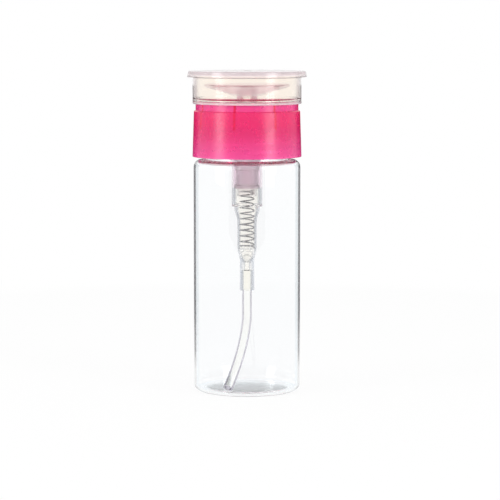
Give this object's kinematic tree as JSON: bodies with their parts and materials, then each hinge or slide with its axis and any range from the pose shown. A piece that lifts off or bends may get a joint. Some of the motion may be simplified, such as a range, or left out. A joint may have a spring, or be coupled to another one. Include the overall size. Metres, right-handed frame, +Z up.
{
  "type": "nail polish remover pump bottle",
  "caption": "Slim clear bottle with a translucent screw collar, a flanged see-through cap, and a press dish on a spring pump with a dip tube that reaches the base.",
  "frame": {"origin": "centre of the bottle's standing ring, on the surface it stands on", "axes": "+Z up along the bottle's axis, -Y towards the pictured front, +X to the right of it"},
  "size_m": [0.0448, 0.0448, 0.12],
  "materials": {
    "clear_bottle": "clear, glossy",
    "pink_collar": "translucent pink, glossy",
    "frosted_cap": "slightly milky, see-through",
    "dish_plastic": "milky, satin",
    "milky_pump": "milky, see-through, satin",
    "soft_seal": "soft, satin",
    "spring_wire": "drawn steel wire",
    "valve_ball": "polished"
  },
  "bodies": {
    "bottle_body": {"bottle": "clear_bottle"},
    "pump_body": {"pump_housing": "milky_pump", "guide_bush": "milky_pump", "neck_gasket": "soft_seal", "return_spring": "spring_wire", "dip_tube": "milky_pump"},
    "collar_body": {"collar": "pink_collar"},
    "cap_body": {"dust_cap": "frosted_cap"},
    "press_body": {"press_dish": "dish_plastic", "stem": "milky_pump", "outlet_insert": "milky_pump", "piston_seal": "soft_seal"},
    "inlet_ball_body": {"inlet_ball": "valve_ball"},
    "outlet_ball_body": {"outlet_ball": "valve_ball"}
  },
  "joints": [
    {"name": "pump_lift", "type": "slide", "parent": "bottle_body", "child": "pump_body", "axis": [0, 0, 1], "range_m": [0, 0.004]},
    {"name": "collar_turn", "type": "hinge", "parent": "pump_body", "child": "collar_body", "pos_m": [0, 0, 0.0987], "axis": [0, 0, 1], "range_deg": [0, 450]},
    {"name": "cap_lift", "type": "slide", "parent": "collar_body", "child": "cap_body", "axis": [0, 0, 1], "range_m": [0, 0.016]},
    {"name": "press", "type": "slide", "parent": "pump_body", "child": "press_body", "axis": [0, 0, -1], "range_m": [0, 0.0057], "stiffness_N_per_m": 400, "springref_m": -0.005, "deforming": ["return_spring"]},
    {"name": "inlet_ball_lift", "type": "slide", "parent": "pump_body", "child": "inlet_ball_body", "axis": [0, 0, 1], "range_m": [0, 0.0008]},
    {"name": "outlet_ball_lift", "type": "slide", "parent": "press_body", "child": "outlet_ball_body", "axis": [0, 0, 1], "range_m": [0, 0.0008]}
  ],
  "couplings": [
    {"joint": "pump_lift", "follows": "collar_turn", "m_per_rad": 0.000509}
  ]
}
